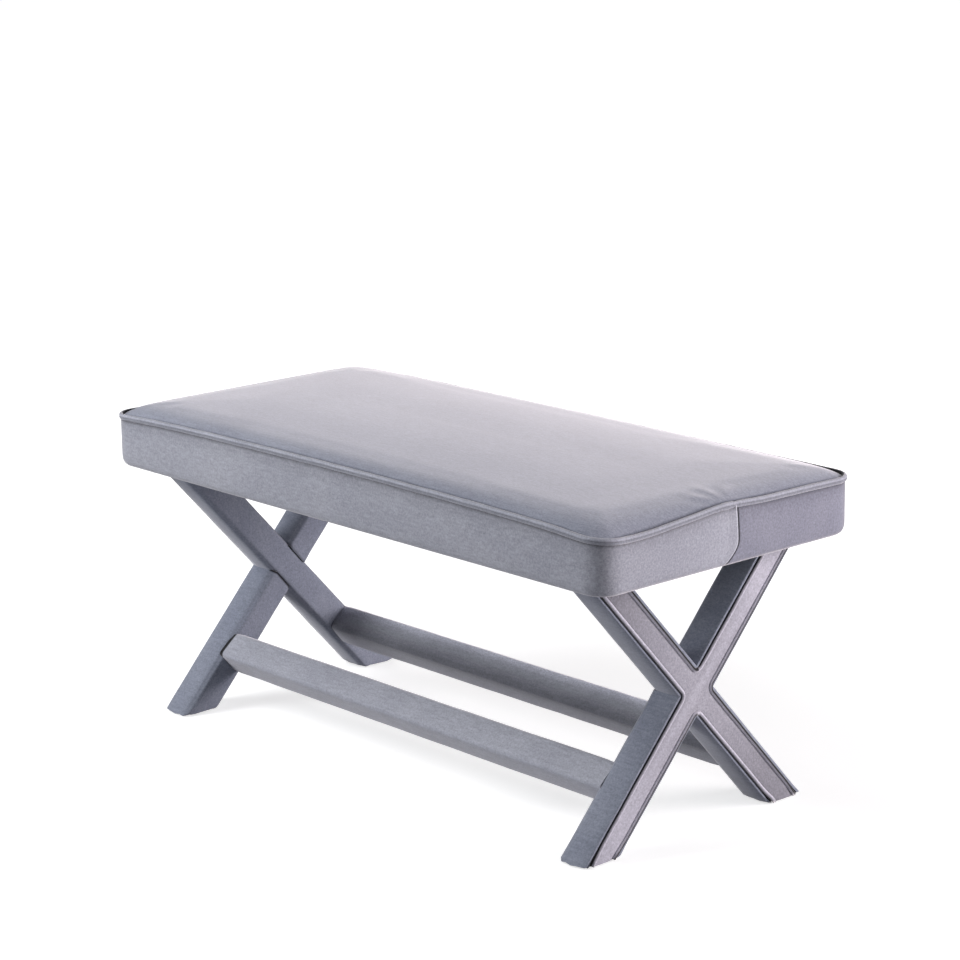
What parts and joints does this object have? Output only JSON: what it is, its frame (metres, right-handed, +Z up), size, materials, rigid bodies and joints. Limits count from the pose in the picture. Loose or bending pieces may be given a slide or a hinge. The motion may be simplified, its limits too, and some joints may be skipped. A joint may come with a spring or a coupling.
{
  "type": "upholstered bench",
  "caption": "Low rectangular bench: a boxed, welted and crowned velvet seat on crossed upholstered leg frames joined by square padded stretchers.",
  "frame": {"origin": "on the floor under the middle of the seat", "axes": "+X along the length of the seat, +Y from the front to the back, +Z up"},
  "size_m": [1.004, 0.464, 0.46],
  "materials": {
    "velvet": "pale grey-lavender short-pile velvet with a directional sheen",
    "batting": "white polyester wadding",
    "foam": "cream polyurethane foam",
    "timber": "planed hardwood, unfinished",
    "plywood": "sanded plywood",
    "cambric": "black non-woven dust cover",
    "steel": "zinc plated",
    "glide_plastic": "matt black plastic"
  },
  "bodies": {
    "root": {"dust_cover_tacks": "steel", "left_leg_arm_lapped": "timber", "left_leg_arm_through": "timber", "left_leg_cover_lower": "velvet", "left_leg_cover_through": "velvet", "left_leg_cover_upper": "velvet", "left_leg_glides": "glide_plastic", "left_leg_outer_panel": "velvet", "left_leg_padding_lower": "batting", "left_leg_padding_through": "batting", "left_leg_padding_upper": "batting", "left_leg_welt_bottom": "velvet", "left_leg_welt_front": "velvet", "left_leg_welt_rear": "velvet", "left_leg_welt_top": "velvet", "leg_lap_screws": "steel", "leg_mount_screws": "steel", "right_leg_arm_lapped": "timber", "right_leg_arm_through": "timber", "right_leg_cover_lower": "velvet", "right_leg_cover_through": "velvet", "right_leg_cover_upper": "velvet", "right_leg_glides": "glide_plastic", "right_leg_outer_panel": "velvet", "right_leg_padding_lower": "batting", "right_leg_padding_through": "batting", "right_leg_padding_upper": "batting", "right_leg_welt_bottom": "velvet", "right_leg_welt_front": "velvet", "right_leg_welt_rear": "velvet", "right_leg_welt_top": "velvet", "seat_batting_wrap": "batting", "seat_boxing_front": "velvet", "seat_boxing_rear": "velvet", "seat_cleat_left": "timber", "seat_cleat_right": "timber", "seat_corner_blocks": "timber", "seat_deck_board": "plywood", "seat_deck_screws": "steel", "seat_dust_cover": "cambric", "seat_foam_block": "foam", "seat_rail_dowels": "timber", "seat_rail_front": "timber", "seat_rail_left": "timber", "seat_rail_middle": "timber", "seat_rail_rear": "timber", "seat_rail_right": "timber", "seat_top_panel": "velvet", "seat_welt_cord": "velvet", "stretcher_barrel_nuts": "steel", "stretcher_bolts": "steel", "stretcher_core_front": "timber", "stretcher_core_rear": "timber", "stretcher_cover_front": "velvet", "stretcher_cover_rear": "velvet", "stretcher_dowels": "timber", "stretcher_padding_front": "batting", "stretcher_padding_rear": "batting"}
  },
  "joints": []
}
